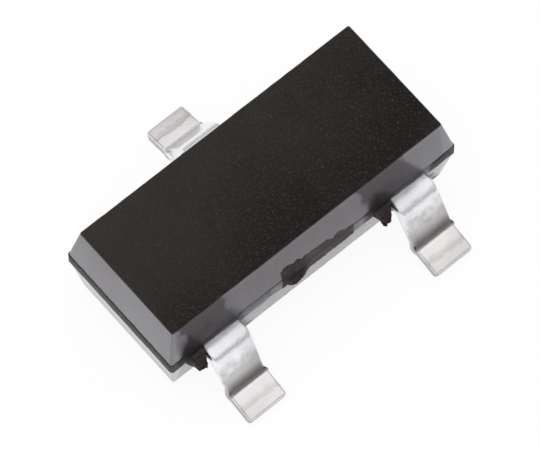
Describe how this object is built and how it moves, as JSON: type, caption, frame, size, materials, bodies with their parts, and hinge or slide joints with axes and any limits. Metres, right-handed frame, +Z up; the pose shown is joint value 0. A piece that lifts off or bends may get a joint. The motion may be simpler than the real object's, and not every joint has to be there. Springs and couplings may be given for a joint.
{
  "type": "sot-23 transistor",
  "caption": "Small surface-mount transistor: a black moulded body on bent tin-plated leads that solder to a circuit board.",
  "frame": {"origin": "under the middle of the moulded body, at the level of the feet", "axes": "+X along the body from the base lead towards the emitter lead, +Y towards the collector lead, +Z up from the circuit board"},
  "size_m": [0.0028, 0.0024, 0.001],
  "materials": {
    "resin": "black moulding compound, matte on top and satin on the drafted walls",
    "lead": "matte tin plating over copper",
    "silicon": "polished silicon",
    "adhesive": "cured silver-filled epoxy",
    "gold": "drawn gold wire"
  },
  "bodies": {
    "root": {"moulded_body": "resin", "base_lead": "lead", "emitter_lead": "lead", "collector_lead": "lead", "transistor_chip": "silicon", "chip_adhesive": "adhesive", "base_bond_wire": "gold", "emitter_bond_wire": "gold"}
  },
  "joints": []
}
